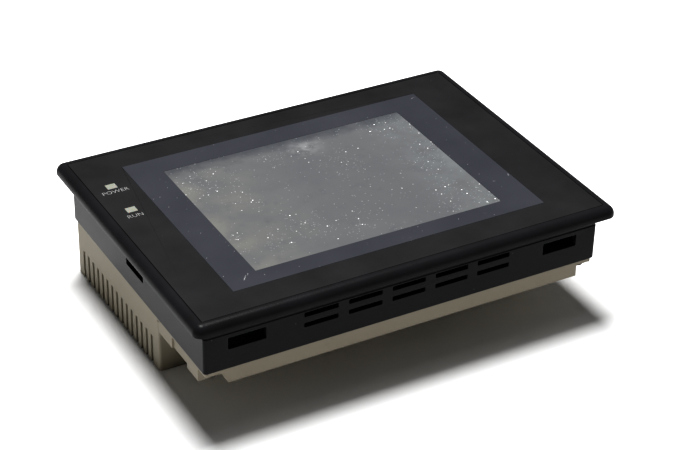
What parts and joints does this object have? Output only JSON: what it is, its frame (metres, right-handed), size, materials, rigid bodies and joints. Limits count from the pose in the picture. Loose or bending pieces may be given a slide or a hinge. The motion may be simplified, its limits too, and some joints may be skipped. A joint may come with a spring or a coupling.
{
  "type": "hmi touch panel",
  "caption": "Flush-mounted operator panel with a monochrome touch screen, indicator windows, vented skirt with clamp slots, and a stepped rear case with ports and power terminals.",
  "frame": {"origin": "middle of the rear face that the panel stands on when it lies face up", "axes": "+X to the right of the screen, +Y to its top edge, +Z out of the screen"},
  "size_m": [0.195, 0.142, 0.054],
  "materials": {
    "battery_sleeve": "shrink sleeve",
    "beige_abs": "moulded, fine texture",
    "black_foam": "closed-cell foam",
    "black_overlay": "fine-textured film",
    "black_polycarbonate": "moulded satin",
    "black_screw": "black zinc",
    "brass_spacer": "turned",
    "button_resin": "moulded",
    "capacitor_can": "sleeved can",
    "chip_resin": "epoxy mould compound",
    "circuit_board": "solder resist",
    "clear_acrylic": "moulded clear",
    "clear_glass": "polished",
    "connector_resin": "moulded",
    "diffuser_film": "matt film",
    "dip_resin": "moulded",
    "display_glass": "liquid crystal glass",
    "display_steel": "tin plated",
    "ferrite": "sintered ferrite and tape",
    "flat_cable": "polyimide film",
    "gasket_rubber": "soft",
    "indicator_film": "translucent film",
    "label_film": "blank metallised film",
    "lamp_glass": "phosphor-coated tube",
    "led_resin": "epoxy",
    "nickel_screw": "nickel plated",
    "port_steel": "tin plated shell",
    "slider_resin": "moulded",
    "terminal_resin": "moulded",
    "touch_surface": "satin hard coat",
    "white_resin": "moulded",
    "zinc_screw": "zinc plated",
    "zinc_steel": "zinc plated sheet"
  },
  "bodies": {
    "housing": {"backlight_lamp": "lamp_glass", "battery": "battery_sleeve", "board_spacers": "brass_spacer", "bracket_screws": "zinc_screw", "buzzer": "chip_resin", "diffuser_sheet": "diffuser_film", "dip_switch": "dip_resin", "display_bracket": "zinc_steel", "display_cushion": "black_foam", "expansion_connector": "connector_resin", "front_bezel": "black_polycarbonate", "interface_board": "circuit_board", "inverter_board": "circuit_board", "inverter_transformer": "ferrite", "lcd_cell": "display_glass", "lcd_flex": "flat_cable", "lcd_frame": "display_steel", "lcd_tray": "white_resin", "led_board": "circuit_board", "light_guide": "clear_acrylic", "light_pipes": "clear_acrylic", "main_board": "circuit_board", "main_chips": "chip_resin", "overlay_sheet": "black_overlay", "panel_gasket": "gasket_rubber", "port_jackscrews": "nickel_screw", "power_board": "circuit_board", "power_capacitors": "capacitor_can", "power_transformer": "ferrite", "power_window": "indicator_film", "rating_label": "label_film", "rear_case": "beige_abs", "rear_screws": "black_screw", "reset_switch": "connector_resin", "run_window": "indicator_film", "serial_port_25": "port_steel", "serial_port_9": "port_steel", "stacking_connector": "connector_resin", "status_leds": "led_resin", "switch_board": "circuit_board", "terminal_block": "terminal_resin", "touch_film": "touch_surface", "touch_glass": "clear_glass", "touch_tail": "flat_cable"},
    "battery_cover": {"battery_cover": "beige_abs"},
    "expansion_cover": {"expansion_cover": "beige_abs"},
    "reset_button": {"reset_button": "button_resin"},
    "dip_slider_1": {"dip_slider_1": "slider_resin"},
    "dip_slider_2": {"dip_slider_2": "slider_resin"},
    "dip_slider_3": {"dip_slider_3": "slider_resin"},
    "dip_slider_4": {"dip_slider_4": "slider_resin"},
    "terminal_washer_1": {"terminal_washer_1": "nickel_screw"},
    "terminal_screw_1": {"terminal_screw_1": "nickel_screw"},
    "terminal_washer_2": {"terminal_washer_2": "nickel_screw"},
    "terminal_screw_2": {"terminal_screw_2": "nickel_screw"},
    "terminal_washer_3": {"terminal_washer_3": "nickel_screw"},
    "terminal_screw_3": {"terminal_screw_3": "nickel_screw"}
  },
  "joints": [
    {"name": "battery_cover_hinge", "type": "hinge", "parent": "housing", "child": "battery_cover", "pos_m": [0.055, 0.0519, 0.0016], "axis": [1, 0, 0], "range_deg": [0, 85]},
    {"name": "expansion_cover_pull", "type": "slide", "parent": "housing", "child": "expansion_cover", "axis": [0, 0, -1], "range_m": [0, 0.012]},
    {"name": "reset_press", "type": "slide", "parent": "housing", "child": "reset_button", "axis": [0, 1, 0], "range_m": [0, 0.001], "stiffness_N_per_m": 300, "springref_m": -0.002},
    {"name": "dip_slide_1", "type": "slide", "parent": "housing", "child": "dip_slider_1", "axis": [0, 0, 1], "range_m": [0, 0.002]},
    {"name": "dip_slide_2", "type": "slide", "parent": "housing", "child": "dip_slider_2", "axis": [0, 0, 1], "range_m": [0, 0.002]},
    {"name": "dip_slide_3", "type": "slide", "parent": "housing", "child": "dip_slider_3", "axis": [0, 0, 1], "range_m": [0, 0.002]},
    {"name": "dip_slide_4", "type": "slide", "parent": "housing", "child": "dip_slider_4", "axis": [0, 0, 1], "range_m": [0, 0.002]},
    {"name": "terminal_lift_1", "type": "slide", "parent": "housing", "child": "terminal_washer_1", "axis": [0, 0, -1], "range_m": [0, 0.0025]},
    {"name": "terminal_turn_1", "type": "hinge", "parent": "terminal_washer_1", "child": "terminal_screw_1", "pos_m": [-0.0685, -0.014, 0.008], "axis": [0, 0, -1], "range_deg": [0, 1500]},
    {"name": "terminal_lift_2", "type": "slide", "parent": "housing", "child": "terminal_washer_2", "axis": [0, 0, -1], "range_m": [0, 0.0025]},
    {"name": "terminal_turn_2", "type": "hinge", "parent": "terminal_washer_2", "child": "terminal_screw_2", "pos_m": [-0.06, -0.014, 0.008], "axis": [0, 0, -1], "range_deg": [0, 1500]},
    {"name": "terminal_lift_3", "type": "slide", "parent": "housing", "child": "terminal_washer_3", "axis": [0, 0, -1], "range_m": [0, 0.0025]},
    {"name": "terminal_turn_3", "type": "hinge", "parent": "terminal_washer_3", "child": "terminal_screw_3", "pos_m": [-0.0515, -0.014, 0.008], "axis": [0, 0, -1], "range_deg": [0, 1500]}
  ],
  "couplings": [
    {"joint": "terminal_turn_1", "follows": "terminal_lift_1", "rad_per_m": 10472},
    {"joint": "terminal_turn_2", "follows": "terminal_lift_2", "rad_per_m": 10472},
    {"joint": "terminal_turn_3", "follows": "terminal_lift_3", "rad_per_m": 10472}
  ]
}
